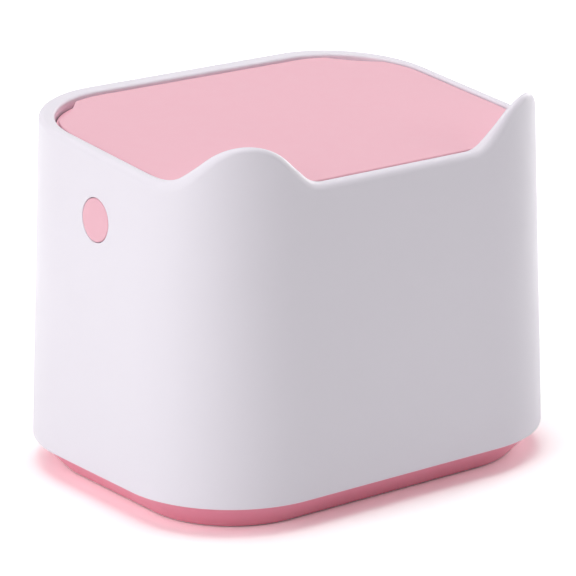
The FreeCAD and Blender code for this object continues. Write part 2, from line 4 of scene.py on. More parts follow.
import bmesh
import bpy
import numpy as np
from bpy.props import FloatProperty, FloatVectorProperty, PointerProperty
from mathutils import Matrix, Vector


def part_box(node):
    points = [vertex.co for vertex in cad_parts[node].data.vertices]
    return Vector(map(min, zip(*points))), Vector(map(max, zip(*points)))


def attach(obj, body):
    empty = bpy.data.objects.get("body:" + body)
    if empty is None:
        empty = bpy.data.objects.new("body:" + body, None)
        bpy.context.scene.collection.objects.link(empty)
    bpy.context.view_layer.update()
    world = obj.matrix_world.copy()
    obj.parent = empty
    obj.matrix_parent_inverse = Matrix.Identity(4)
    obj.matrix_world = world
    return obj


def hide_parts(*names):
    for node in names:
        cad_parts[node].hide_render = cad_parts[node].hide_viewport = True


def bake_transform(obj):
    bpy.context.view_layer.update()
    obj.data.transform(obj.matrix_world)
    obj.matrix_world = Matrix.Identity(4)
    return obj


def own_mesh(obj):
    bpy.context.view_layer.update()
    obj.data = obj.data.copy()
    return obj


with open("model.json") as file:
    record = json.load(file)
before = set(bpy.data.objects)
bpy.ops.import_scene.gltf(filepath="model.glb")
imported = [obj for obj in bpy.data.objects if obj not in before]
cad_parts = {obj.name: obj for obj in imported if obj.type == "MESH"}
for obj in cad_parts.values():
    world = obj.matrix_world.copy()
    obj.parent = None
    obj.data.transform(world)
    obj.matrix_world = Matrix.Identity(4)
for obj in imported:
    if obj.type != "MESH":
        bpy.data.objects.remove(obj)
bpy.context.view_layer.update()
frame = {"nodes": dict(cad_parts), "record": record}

bl_info = {
    "name": "Cat-eared bin",
    "version": (1, 0, 0),
    "blender": (4, 5, 0),
    "location": "3D View > Sidebar > Bin",
    "description": "Dresses the packed bin with smooth mouldings, steel fittings and a studio",
    "category": "Object",
}

MM = 0.001
PAIR = (-1, 1)

# Sizes of the fittings inside, where no user needs a setting
COLLAR = 3.0 * MM
BRACKET = 3.0 * MM
BRACKET_FRONT = 11.2 * MM
BRACKET_REACH = 4.0 * MM
BRACKET_SCREW_SHARES = (0.19, 0.81)
LINER = 1.8 * MM
LINER_SIDE = 31.0 * MM
LINER_END = 17.0 * MM
STRIKER = 1.2 * MM
STRIKER_LEAD = 10.5 * MM
STRIKER_HALF = 5.5 * MM
BOSS = 3.2 * MM
BOSS_SIDE = 43.0 * MM
BOSS_END = 29.0 * MM
PILOT = 1.05 * MM
SHANK = 4.6 * MM
LONG_SHANK = 7.6 * MM
SCREW_LAP = 1.55 * MM
COLLAR_SCREW_X = 30.0 * MM
COLLAR_SCREW_Y = -22.0 * MM
POST = 3.6 * MM
POST_PILOT = 1.1 * MM
POST_Y = 17.0 * MM
POST_ROOT = 1.3 * MM
POST_END = 9.5 * MM
HOUSING = 2.5 * MM
SLIDE_FACE = 15.0 * MM
WIRE = 0.35 * MM
PAIL_FLOOR = 2.0 * MM
FIT = 0.6 * MM

# Distance at which points are merged, and angles in degrees above which an edge stays sharp
WELD = 1e-6
CREASE = 38.0
LID_CREASE = 34.0
FITTING_CREASE = 32.0


def length(name, description, default):
    """A size in metres, given here in millimetres."""
    return FloatProperty(name=name, description=description, default=default * MM,
                         unit="LENGTH", precision=5)


def degrees(name, description, default):
    """An angle, given here in degrees."""
    return FloatProperty(name=name, description=description, default=math.radians(default),
                         subtype="ANGLE")


def tint(name, description, default):
    """A colour as it looks on screen."""
    return FloatVectorProperty(name=name, description=description, default=default,
                               subtype="COLOR_GAMMA", size=3, min=0.0, max=1.0)


class BinSleeveSizes(bpy.types.PropertyGroup):
    """Sizes of the white sleeve, its rim and its ears."""
    half_width: length("Half width", "Half the width at the hem", 110.0)
    half_depth: length("Half depth", "Half the depth at the hem", 86.0)
    corner: length("Corner", "Radius of the upright corners at the hem", 55.195)
    base: length("Hem height", "Height of the hem above the floor", 13.0)
    hem: length("Hem round", "Rounding of the hem", 1.2)
    wall: length("Wall", "Thickness of the wall", 2.2)
    lean: FloatProperty(name="Lean", description="Share by which the wall leans in", default=0.0384)
    rim_height: length("Rim height", "Height of the rim's plane over the middle", 159.1)
    rim_slope: degrees("Rim slope", "Slope of the rim towards the ears", 4.97)
    rim: length("Rim thickness", "Thickness of the rim at the front and the sides", 5.4)
    rim_rear: length("Rear rim thickness", "Thickness of the rim at the rear", 9.4)
    rim_outer: length("Rim outer round", "Rounding outside the crest", 2.8)
    rim_inner: length("Rim inner round", "Rounding inside the crest", 1.3)
    seat: length("Seat depth", "Depth of the thick rim below its plane", 5.7)
    ear_height: length("Ear height", "Height of the ears above the rim's plane", 19.45)
    ear_tip: length("Ear tip radius", "Radius at the top of an ear", 24.3)
    ear_foot: length("Ear foot radius", "Radius where an ear runs out", 11.7)
    ear_out: length("Ear shift", "Shift of an ear's middle outwards", 0.4)
    ear_flank: degrees("Ear flank", "Steepness of an ear's flank", 44.7)
    ear_turn: degrees("Ear turn", "Turn of an ear away from the front", 27.6)


class BinLidSizes(bpy.types.PropertyGroup):
    """Sizes of the pink lid and what hangs under it."""
    side_gap: length("Side gap", "Gap to the rim at the sides", 1.0)
    front_gap: length("Front gap", "Gap to the rim along the front", 2.1)
    rear_gap: length("Rear gap", "Gap in which the tail of the lid dips", 3.1)
    top: length("Drop", "Depth of the top below the rim's plane", 0.7)
    skin: length("Skin", "Thickness of the top", 2.0)
    skirt: length("Skirt", "Depth of the skirt", 5.0)
    skirt_wall: length("Skirt wall", "Thickness of the skirt", 2.0)
    edge: length("Edge round", "Rounding of the top edge", 0.7)
    step: length("Step", "Depth of the step round the top", 3.8)
    flange_gap: length("Flange gap", "Gap between the stepped edge and the rim", 0.7)
    notch_chord: length("Notch width", "Width of a finger notch", 27.7)
    notch_sag: length("Notch depth", "Depth of a notch inside its chord", 1.45)
    notch_turn: degrees("Notch turn", "Turn of a notch from the rear", 41.0)
    hinge_lead: length("Hinge lead", "Place of the pins before the rear corners", 0.4)
    knuckle: length("Knuckle", "Depth and width of a knuckle", 6.0)
    knuckle_inset: length("Knuckle inset", "Inner end of a knuckle from the lid's side", 18.0)
    ledge: length("Ledge", "Width of the collar under the lid", 12.5)


class BinButtonSizes(bpy.types.PropertyGroup):
    """Sizes of the button and its seat."""
    radius: length("Radius", "Radius of the button", 9.7)
    gap: length("Gap", "Gap round the button", 0.35)
    height: length("Height", "Height of the button's middle", 129.1)
    edge: length("Edge round", "Rounding of the button's edge", 0.45)
    guide: length("Guide wall", "Thickness of the guide behind the wall", 2.0)
    guide_depth: length("Guide depth", "Depth of the guide", 6.0)
    stem: length("Stem radius", "Radius of the stem", 3.0)


class BinBaseSizes(bpy.types.PropertyGroup):
    """Sizes of the tray, the pads and the pail."""
    foot_inset: length("Foot inset", "Inset of the tray's sole", 13.5)
    foot_corner: length("Foot corner", "Corner radius of the sole", 42.4)
    lip_inset: length("Lip inset", "Inset of the tray's lip", 2.0)
    wall: length("Wall", "Thickness of the tray", 2.4)
    edge: length("Sole round", "Rounding of the sole's edge", 2.0)
    ridge: length("Ridge", "Height of the ridge inside the sleeve", 5.0)
    ridge_wall: length("Ridge wall", "Thickness of the ridge", 2.2)
    pad: length("Pad radius", "Radius of a pad", 8.0)
    pad_stand: length("Pad stand", "Height of the tray above the floor", 0.5)
    pail_wall: length("Pail wall", "Thickness of the pail", 1.8)
    pail_lip: length("Pail lip", "Width of the pail's lip", 3.0)


class BinFinishes(bpy.types.PropertyGroup):
    """Colours of the finishes."""
    sleeve: tint("Sleeve", "Satin white of the sleeve", (0.955, 0.933, 0.970))
    inner: tint("Inner fittings", "White of the hidden mouldings", (0.90, 0.89, 0.91))
    lid: tint("Lid", "Pale matte pink of the lid and button", (0.965, 0.735, 0.792))
    base: tint("Base", "Deeper pink of the tray", (0.935, 0.535, 0.635))
    pail: tint("Pail", "Off-white of the pail", (0.87, 0.86, 0.88))
    steel: tint("Steel", "Bright steel of pins, springs and screws", (0.74, 0.74, 0.76))
    rubber: tint("Rubber", "Grey of the pads", (0.30, 0.29, 0.30))


def linear(c):
    """A screen colour as the shader takes it."""
    return tuple(x / 12.92 if x <= 0.04045 else ((x + 0.055) / 1.055) ** 2.4 for x in c)


def fill(tree, n, inputs):
    """Fills a node's inputs with values or links."""
    for key, value in inputs.items():
        for v in value if isinstance(value, list) else [value]:
            if isinstance(v, bpy.types.NodeSocket):
                tree.links.new(v, n.inputs[key])
            else:
                n.inputs[key].default_value = v


def node(tree, kind, inputs=None, **settings):
    """Adds a node, sets it and fills its inputs."""
    n = tree.nodes.new(kind)
    for key, value in settings.items():
        setattr(n, key, value)
    fill(tree, n, inputs or {})
    return n


def out(tree, kind, inputs=None, **settings):
    """Adds a node and returns its first output."""
    return node(tree, kind, inputs, **settings).outputs[0]


def math_of(tree, operation, a, b):
    """Two numbers put together."""
    return out(tree, "ShaderNodeMath", {0: a, 1: b}, operation=operation)


def mixed(tree, factor, a, b):
    """A colour between two others."""
    mix = node(tree, "ShaderNodeMix", {"Factor": factor, "A": a, "B": b}, data_type="RGBA")
    return mix.outputs["Result"]


def fresh_material(name):
    """An empty node material with its object coordinates and its shader."""
    m = bpy.data.materials.new(name)
    m.use_nodes = True
    m.node_tree.nodes.clear()
    place = node(m.node_tree, "ShaderNodeTexCoord").outputs["Object"]
    shader = node(m.node_tree, "ShaderNodeBsdfPrincipled")
    node(m.node_tree, "ShaderNodeOutputMaterial", {"Surface": shader.outputs["BSDF"]})
    return m, place, shader


def surfaced(name, colour, tones, gloss, relief, stretch=None, **fixed):
    """A material whose colour drifts, with an uneven gloss and a fine relief.

    Each starts with the scale and detail of its noise. Then tones has its darkest and lightest
    shares, gloss its range of noise and of roughness, and relief its strength and depth.
    """
    m, place, shader = fresh_material(name)
    t = m.node_tree
    if stretch:
        place = out(t, "ShaderNodeMapping", {"Vector": place, "Scale": stretch})

    def noise(scale, detail):
        return out(t, "ShaderNodeTexNoise", {"Vector": place, "Scale": scale, "Detail": detail})

    dark, light = [(*[min(1, c * k) for c in linear(colour)], 1) for k in tones[2:]]
    ends = dict(zip(("From Min", "From Max", "To Min", "To Max"), gloss[2:]))
    fill(t, shader, {
        "Base Color": mixed(t, noise(*tones[:2]), dark, light),
        "Roughness": out(t, "ShaderNodeMapRange", {"Value": noise(*gloss[:2]), **ends}),
        "Normal": out(t, "ShaderNodeBump", {"Height": noise(*relief[:2]), "Strength": relief[2],
                                            "Distance": relief[3]}),
        **fixed})
    return m


def moulded(name, colour, roughness, grain=0.5, depth=0.02, shift=0.012, specular=0.5):
    """Moulded plastic: a fine spark-eroded grain, a slow drift of colour, uneven gloss."""
    return surfaced(name, colour, tones=(22.0, 3.0, 1 - shift, 1 + shift),
                    gloss=(140.0, 4.0, 0.3, 0.7, roughness - 0.04, roughness + 0.04),
                    relief=(1 / (grain * MM), 2.0, 0.25, depth * MM),
                    **{"Specular IOR Level": specular})


def drawn_steel(name, colour, along=None, roughness=0.3):
    """Steel with drawing lines that run along one way."""
    lines = (900.0, 3.0)
    return surfaced(name, colour, tones=(*lines, 0.86, 1.08),
                    gloss=(*lines, 0.0, 1.0, roughness - 0.08, roughness + 0.1),
                    relief=(*lines, 0.2, 0.01 * MM), stretch=along, Metallic=1.0)


finishes = {}


def make_finishes():
    """Makes every finish of the bin once."""
    f = bpy.context.scene.bin_finishes
    finishes["sleeve_white"] = moulded("satin_white", f.sleeve, 0.42, 0.55, 0.018, 0.006)
    finishes["inner_white"] = moulded("plain_white", f.inner, 0.5, 0.4, 0.02, 0.012)
    finishes["lid_pink"] = moulded("pale_pink", f.lid, 0.5, 0.35, 0.025, 0.01, 0.6)
    finishes["base_pink"] = moulded("deep_pink", f.base, 0.34, 0.45, 0.003, 0.015, 0.9)
    finishes["pail_white"] = moulded("pail_white", f.pail, 0.4, 0.8, 0.03, 0.015)
    finishes["pad_rubber"] = moulded("pad_rubber", f.rubber, 0.8, 0.3, 0.08, 0.06, 0.3)
    finishes["steel"] = drawn_steel("drawn_steel", f.steel, (0.08, 1.0, 1.0))
    finishes["magnet_nickel"] = drawn_steel("magnet_nickel", (0.80, 0.79, 0.76), roughness=0.2)


class Form:
    """Collects points and faces of one piece."""

    def __init__(self):
        self.points = []
        self.faces = []

    def loop(self, pts):
        """Adds points and returns their numbers."""
        start = len(self.points)
        self.points += [tuple(p) for p in np.asarray(pts, float)]
        return list(range(start, len(self.points)))

    def bridge(self, a, b, skip=()):
        """Quads between two closed loops with the same count."""
        n = len(a)
        for i in range(n):
            if i not in skip:
                j = (i + 1) % n
                self.faces.append((a[i], a[j], b[j], b[i]))

    def loft(self, rows):
        """Skins a list of closed loops and closes both ends."""
        loops = [self.loop(r) for r in rows]
        for a, b in zip(loops, loops[1:]):
            self.bridge(a, b)
        self.faces += [tuple(reversed(loops[0])), tuple(loops[-1])]


def finish(obj, slot, *nodes):
    """Gives a piece its finish, if it has none, and hides the nodes that it stands for."""
    if not obj.data.materials:
        obj.data.materials.append(finishes[slot])
    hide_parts(*nodes)


def dress(obj, body, slot, *nodes):
    """Finishes a rigid piece and puts it on its body."""
    finish(obj, slot, *nodes)
    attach(obj, body)


def new_object(name, data):
    """A new object in the scene."""
    obj = bpy.data.objects.new(name, data)
    bpy.context.scene.collection.objects.link(obj)
    return obj


def piece(name, form, angle=CREASE):
    """Turns a form into a closed, smoothly shaded object."""
    mesh = bpy.data.meshes.new(name)
    mesh.from_pydata(form.points, [], form.faces)
    smooth_closed(mesh, angle)
    return new_object(name, mesh)


def smooth(mesh, angle):
    """Shades a mesh smoothly, with sharp edges above an angle in degrees."""
    mesh.polygons.foreach_set("use_smooth", [True] * len(mesh.polygons))
    mesh.set_sharp_from_angle(angle=math.radians(angle))


def applied(obj, modifier):
    """Gives an object the plain mesh that its modifier makes."""
    bpy.context.view_layer.update()
    graph = bpy.context.evaluated_depsgraph_get()
    made = bpy.data.meshes.new_from_object(obj.evaluated_get(graph))
    obj.modifiers.remove(modifier)
    obj.data = made
    return made


def smooth_closed(mesh, angle):
    """Merges doubles, points faces outwards and keeps only real edges sharp."""
    b = bmesh.new()
    b.from_mesh(mesh)
    bmesh.ops.remove_doubles(b, verts=b.verts, dist=WELD)
    bmesh.ops.recalc_face_normals(b, faces=b.faces)
    b.to_mesh(mesh)
    b.free()
    smooth(mesh, angle)
    mesh.update()


def tilt(points):
    """From the level of the rim's plane to its place on the sleeve."""
    s = bpy.context.scene.bin_sleeve
    p = np.asarray(points, float)
    c, k = math.cos(s.rim_slope), math.sin(s.rim_slope)
    return np.stack([p[..., 0], p[..., 1] * c - p[..., 2] * k,
                     s.rim_height + p[..., 1] * k + p[..., 2] * c], -1)


class Plan:
    """Outlines on the rim's plane that follow from the sizes: pocket and lid."""

    def __init__(self, scene):
        s, lid = scene.bin_sleeve, scene.bin_lid
        lean = s.lean * (s.rim_height - s.base)
        self.rim_half_depth = (s.half_depth - lean) / math.cos(s.rim_slope)
        self.rim_corner = s.corner - lean
        self.pocket_x = s.half_width - lean - s.rim
        self.pocket_front = s.rim - self.rim_half_depth
        self.shift = (s.rim_rear - s.rim) / 2
        self.half_width = self.pocket_x - lid.side_gap
        pocket_corner = self.rim_corner - s.rim
        self.flange_corner = pocket_corner - lid.flange_gap
        self.flange_core = np.array([self.pocket_x - pocket_corner,
                                     self.rim_half_depth - s.rim - self.shift - pocket_corner])
        self.front = self.pocket_front + lid.front_gap
        self.rear = self.rim_half_depth - s.rim_rear - lid.rear_gap
        self.middle = (self.front + self.rear) / 2
        self.half_depth = (self.rear - self.front) / 2
        self.corner = self.rim_corner - s.rim - lid.front_gap
        self.hinge_y = self.rear - self.corner - lid.hinge_lead
        self.knuckle_start = self.half_width - lid.knuckle_inset
        boss_x, boss_y = self.half_width - BOSS_SIDE, self.half_depth - BOSS_END
        self.liner_spots = [(i * boss_x, self.middle + j * boss_y) for i in PAIR for j in PAIR]
        striker_x = STRIKER_LEAD - (self.pocket_x - lid.ledge)
        self.striker_spots = [(striker_x, k * STRIKER_HALF) for k in PAIR]
        self.screw_x = self.pocket_x + SCREW_LAP
        self.screw_y = self.pocket_front - SCREW_LAP
        self.face = s.lean * (scene.bin_button.height - s.base) - s.half_width


class Ring:
    """Stations round a rounded rectangle, from the middle of the front, turning left."""

    def __init__(self, front, front_arc, rear_arc, side, rear=6):
        spans = []

        def straight(fx0, fy0, fx1, fy1, marks, n):
            for m in marks:
                spans.append((fx0 + (fx1 - fx0) * m, fy0 + (fy1 - fy0) * m, *n))

        def arc(fx, fy, a0, steps):
            for i in range(steps):
                a = math.radians(a0 + 90.0 * i / steps)
                spans.append((fx, fy, math.cos(a), math.sin(a)))

        front = list(front)
        side = list(side)
        straight(0, -1, 1, -1, front[:-1], (0, -1))
        arc(1, -1, -90, front_arc)
        straight(1, -1, 1, 1, side[:-1], (1, 0))
        arc(1, 1, 0, rear_arc)
        straight(1, 1, -1, 1, np.linspace(0, 1, rear + 1)[:-1], (0, 1))
        arc(-1, 1, 90, rear_arc)
        self.left = len(spans)
        straight(-1, 1, -1, -1, side[:-1], (-1, 0))
        arc(-1, -1, 180, front_arc)
        straight(-1, -1, 0, -1, [1 - m for m in reversed(front)][:-1], (0, -1))
        data = np.array(spans, float)
        self.f = data[:, :2]
        self.n = data[:, 2:]

    def __len__(self):
        return len(self.f)

    def at(self, half_width, half_depth, corner, z):
        """Points of the rounded rectangle at height z."""
        c = self.f * [half_width - corner, half_depth - corner]
        xy = c + self.n * corner
        return np.column_stack([xy, np.broadcast_to(z, len(xy))])


def quarter(steps):
    """Pairs that run a rounding from its first edge to its second."""
    for a in np.linspace(0, math.pi / 2, steps):
        yield 1 - math.sin(a), 1 - math.cos(a)


def full_turn(steps):
    """Angles of a full turn."""
    return np.linspace(0, 2 * math.pi, steps + 1)[:-1]


def ear_rise(s, x, y, centre):
    """Height of the ears above the rim's plane at a place on that plane."""
    flank, turn = s.ear_flank, s.ear_turn
    bend = 1 - math.cos(flank)
    run = (s.ear_height - (s.ear_tip + s.ear_foot) * bend) / math.sin(flank)
    shoulder = s.ear_tip * math.sin(flank)
    foot = shoulder + run * math.cos(flank)
    half = foot + s.ear_foot * math.sin(flank)
    side = np.where(x < 0, -1.0, 1.0)
    d = np.abs((x - side * centre[0]) * math.cos(turn)
               + (y + centre[1]) * side * math.sin(turn))
    tip = s.ear_height - s.ear_tip + np.sqrt(np.maximum(s.ear_tip ** 2 - d ** 2, 0))
    slope = s.ear_height - s.ear_tip * bend - (d - shoulder) * math.tan(flank)
    low = s.ear_foot - np.sqrt(np.maximum(s.ear_foot ** 2 - (half - d) ** 2, 0))
    h = np.where(d < shoulder, tip, np.where(d < foot, slope, np.where(d < half, low, 0.0)))
    return np.where(y < 0, h, 0.0)


class BIN_OT_sleeve(bpy.types.Operator):
    """White sleeve with its rounded rim, its ears and the seat of the button"""
    bl_idname = "bin.sleeve"
    bl_label = "Sleeve"

    def execute(self, context):
        s = context.scene.bin_sleeve
        b = context.scene.bin_button
        # Heights in millimetres of the rows below the button, outside going up and inside going down
        outer_levels = (15.0, 22.0, 40.0, 65.0, 90.0, 105.0)
        inner_levels = (90.0, 50.0, 20.0)
        reach = 15.0 * MM
        core_y = s.half_depth - s.corner
        cells = 12
        window = np.linspace(-reach, reach, cells + 1)
        between = (core_y + reach) / 2
        side = np.concatenate([[-core_y, -between], window, [between, core_y]])
        # Shares of half the front: few stations in the middle, many where an ear runs out
        front = np.concatenate([np.linspace(0, 0.62, 6), np.linspace(0.66, 1, 12)])
        ring = Ring(front, front_arc=64, rear_arc=32, side=(side + core_y) / (2 * core_y))
        soft, support, bevel = 0.4 * MM, 0.35 * MM, 0.3 * MM
        n3 = np.column_stack([ring.n, np.zeros(len(ring))])

        def wall(z, inset):
            d = s.lean * (z - s.base) + inset
            c = ring.f * [s.half_width - s.corner, core_y]
            xy = c + ring.n * (s.corner - np.broadcast_to(d, len(ring)))[:, None]
            return np.column_stack([xy, np.broadcast_to(z, len(ring))])

        ct, st = math.cos(s.rim_slope), math.sin(s.rim_slope)
        plan = Plan(context.scene)
        core = (s.half_width - s.corner, plan.rim_half_depth - plan.rim_corner)
        centre = (core[0] + s.ear_out, core[1])

        def meet(inset, height):
            """The wall where it reaches a height above the rim's plane, closed in on in rounds."""
            z = np.full(len(ring), s.rim_height)
            for _ in range(12):
                p = wall(z, inset)
                h = height(p[:, 0], p[:, 1] * ct + (p[:, 2] - s.rim_height) * st)
                z = s.rim_height + (h + p[:, 1] * st) / ct
            return wall(z, inset)

        outer = meet(0.0, lambda x, y: ear_rise(s, x, y, centre))
        pocket = ring.f * [core[0], core[1] - plan.shift] - [0, plan.shift]
        pocket = pocket + ring.n * (plan.rim_corner - s.rim)
        rise = ear_rise(s, pocket[:, 0], pocket[:, 1], centre)
        inner = tilt(np.column_stack([pocket, rise]))
        across = inner - outer
        thick = np.linalg.norm(across, axis=1, keepdims=True)
        across = across / thick
        down_out = n3 * s.lean + [0, 0, -1]
        down_out = down_out / np.linalg.norm(down_out, axis=1, keepdims=True)
        down_in = np.broadcast_to([0, st, -ct], outer.shape)
        run = np.roll(outer, -1, 0) - np.roll(outer, 1, 0)
        steep = np.linalg.norm(run, axis=1) / np.maximum(np.linalg.norm(run[:, :2], axis=1), 1e-9)
        steepest, outer_share, inner_share = 1.5, 0.6, 0.3
        steep = np.minimum(steep, steepest)[:, None]
        ro = np.minimum(s.rim_outer, outer_share * thick)
        ri = np.minimum(s.rim_inner, inner_share * thick)

        rows = [wall(s.base, s.wall - soft)]
        rows += [wall(s.base + s.hem * v, s.hem * u) for u, v in quarter(6)]
        rows += [wall(z * MM, 0.0) for z in outer_levels]
        first_out = len(rows)
        levels = b.height + window
        rows += [wall(z, 0.0) for z in levels]
        crest = [outer + down_out * ro * steep * u + across * ro * v for u, v in quarter(11)]
        top = crest[0][:, 2]
        for share in (0.4, 0.8):
            rows.append(wall(levels[-1] + (top - levels[-1]) * share, 0.0))
        rows.append(wall(top - support, 0.0))
        rows += crest
        for share in (0.33, 0.67):
            rows.append(crest[-1] * (1 - share) + (inner - across * ri) * share)
        rows += [inner - across * ri * u + down_in * ri * steep * v for u, v in quarter(7)]
        low = -s.seat
        start = rise - (ri * steep)[:, 0]
        for share in (0.5, 1.0):
            rows.append(tilt(np.column_stack([pocket, start + (low - start) * share])))
        rows.append(meet(s.wall, lambda x, y: np.full(len(x), low)))
        first_in = len(rows)
        rows += [wall(z, s.wall) for z in levels[::-1]]
        rows += [wall(z * MM, s.wall) for z in inner_levels]
        rows.append(wall(s.base + soft, s.wall))

        form = Form()
        loops = [form.loop(r) for r in rows]
        j0 = ring.left + 2
        holes = {first_out + i for i in range(cells)} | {first_in + i for i in range(cells)}
        for i, loop in enumerate(loops):
            skip = range(j0, j0 + cells) if i in holes else ()
            form.bridge(loop, loops[(i + 1) % len(loops)], skip=skip)

        def rim_of(first):
            edge = [loops[first][j] for j in range(j0, j0 + cells)]
            edge += [loops[i][j0 + cells] for i in range(first, first + cells)]
            edge += [loops[first + cells][j] for j in range(j0 + cells, j0, -1)]
            edge += [loops[i][j0] for i in range(first + cells, first, -1)]
            return edge

        def circle(edge, radius, inset, depth=None):
            pts = []
            for i in edge:
                _, y, z = form.points[i]
                a = math.atan2(z - b.height, y)
                y, z = radius * math.cos(a), b.height + radius * math.sin(a)
                x = -s.half_width + s.lean * (z - s.base) + inset
                pts.append((depth if depth is not None else x, y, z))
            return form.loop(pts)

        hole = b.radius + b.gap
        face = plan.face
        outside = rim_of(first_out)
        inside = rim_of(first_in)

        def spot(i):
            return tuple(round(v, 7) for v in form.points[i][1:])

        inside_at = {spot(i): i for i in inside}
        chain = [outside]
        chain += [circle(outside, hole + margin * MM, 0.0) for margin in (1.6, 0.5)]
        chain += [circle(outside, hole + soft * u, soft * v) for u, v in quarter(5)]
        chain += [circle(outside, hole, 0, face + b.guide_depth),
                  circle(outside, hole + b.guide, 0, face + b.guide_depth),
                  circle(outside, hole + b.guide, s.wall),
                  [inside_at[spot(i)] for i in outside]]
        for a, d in zip(chain, chain[1:]):
            form.bridge(a, d)
        a = full_turn(24)
        for y in (k * POST_Y for k in PAIR):
            post = [np.column_stack([np.full(len(a), face + x), y + r * np.cos(a),
                                     b.height + r * np.sin(a)])
                    for x, r in ((POST_ROOT, POST), (POST_END - soft, POST),
                                 (POST_END, POST - bevel), (POST_END, POST_PILOT))]
            form.loft(post)
        dress(piece("sleeve_shell", form), "sleeve", "sleeve_white", "outer_sleeve")
        return {"FINISHED"}


def lid_outline(plan, lid, inset, steps):
    """Outline of the lid with its two finger notches, drawn in by inset, on the rim's plane."""
    hw = plan.half_width - inset
    front, rear = plan.front + inset, plan.rear - inset
    r = plan.corner - inset
    cx, cy0, cy1 = hw - r, front + r, rear - r
    half = lid.notch_chord / 2
    notch = (half ** 2 + lid.notch_sag ** 2) / (2 * lid.notch_sag)
    far = math.sqrt(plan.corner ** 2 - half ** 2) - lid.notch_sag + notch
    mid = math.pi / 2 - lid.notch_turn
    notch += inset
    spread = math.acos((far ** 2 + r ** 2 - notch ** 2) / (2 * far * r))
    wide = math.asin(r * math.sin(spread) / notch)
    pts = []

    def arc(x, y, rad, a0, a1, n):
        for a in np.linspace(a0, a1, n + 1)[:-1]:
            pts.append((x + rad * math.cos(a), y + rad * math.sin(a)))

    def line(x0, y0, x1, y1, n):
        for k in np.linspace(0, 1, n + 1)[:-1]:
            pts.append((x0 + (x1 - x0) * k, y0 + (y1 - y0) * k))

    line(0, front, cx, front, 5)
    arc(cx, cy0, r, -math.pi / 2, 0, steps)
    line(hw, cy0, hw, cy1, 8)
    arc(cx, cy1, r, 0, mid - spread, steps // 2)
    back = mid + math.pi
    arc(cx + far * math.cos(mid), cy1 + far * math.sin(mid), notch, back + wide, back - wide,
        steps // 2)
    arc(cx, cy1, r, mid + spread, math.pi / 2, steps // 2)
    line(cx, rear, 0, rear, 5)
    right = np.array(pts)
    left = right[:0:-1] * [-1, 1]
    return np.concatenate([right, [(0.0, rear)], left])


class BIN_OT_lid(bpy.types.Operator):
    """Pink lid with its soft edge, skirt, screw bosses and hinge knuckles"""
    bl_idname = "bin.lid"
    bl_label = "Lid"

    def execute(self, context):
        lid = context.scene.bin_lid
        plan = Plan(context.scene)
        top = -lid.top
        floor = top - lid.skin
        seat = top - lid.skirt
        soft = 0.3 * MM
        cove = 0.8 * MM
        margins = (0.4 * MM, 6 * MM)
        steps = 40

        def row(inset, z):
            xy = lid_outline(plan, lid, inset, steps)
            return tilt(np.column_stack([xy, np.full(len(xy), z)]))

        def flange(inset, z):
            xy = lid_outline(plan, lid, 0.0, steps) + [0, plan.shift]
            core = np.clip(xy, -plan.flange_core, plan.flange_core)
            way = xy - core
            way = way / np.linalg.norm(way, axis=1, keepdims=True)
            xy = core + way * (plan.flange_corner - inset) - [0, plan.shift]
            return tilt(np.column_stack([xy, np.full(len(xy), z)]))

        rows = [row(lid.skirt_wall + cove, floor)]
        rows += [row(lid.skirt_wall + cove * u, floor - cove * v) for u, v in quarter(5)]
        rows += [row(lid.skirt_wall - soft * v, seat + soft * u) for u, v in quarter(4)]
        rows += [flange(soft * u, seat + soft * v) for u, v in quarter(4)]
        rows += [flange(soft * v, top - lid.step - soft * u) for u, v in quarter(4)]
        rows += [row(0, top - lid.step), row(0, top - lid.edge - soft)]
        rows += [row(lid.edge * v, top - lid.edge * u) for u, v in quarter(8)]
        rows += [row(lid.edge + margin, top) for margin in margins]
        form = Form()
        form.loft(rows)
        a = full_turn(28)
        foot, bevel, blind = 0.4 * MM, 0.2 * MM, 0.6 * MM
        for x, y in plan.liner_spots + plan.striker_spots:
            boss = [np.column_stack([x + r * np.cos(a), y + r * np.sin(a), np.full(len(a), z)])
                    for r, z in ((BOSS + foot, floor), (BOSS, floor - foot), (BOSS, seat + bevel),
                                 (BOSS - bevel, seat), (PILOT, seat), (PILOT, floor - blind))]
            form.loft([tilt(p) for p in boss])
        half, taper = lid.knuckle / 2, 0.93
        arcs = np.linspace(math.pi, 2 * math.pi, 17)
        cheek = [(-half, floor), *[(half * math.cos(t), seat + half * math.sin(t)) for t in arcs],
                 (half, floor)]
        for side in PAIR:
            x0 = side * plan.knuckle_start
            x1 = x0 + side * lid.knuckle
            rows = []
            for x, k in ((x0, taper), (x0 + side * soft, 1.0), (x1 - side * soft, 1.0), (x1, taper)):
                rows.append(tilt([(x, plan.hinge_y + y * k, floor + (z - floor) * k)
                                  for y, z in cheek]))
            form.loft(rows)
        dress(piece("lid_shell", form, LID_CREASE), "lid", "lid_pink", "lid_panel")
        return {"FINISHED"}


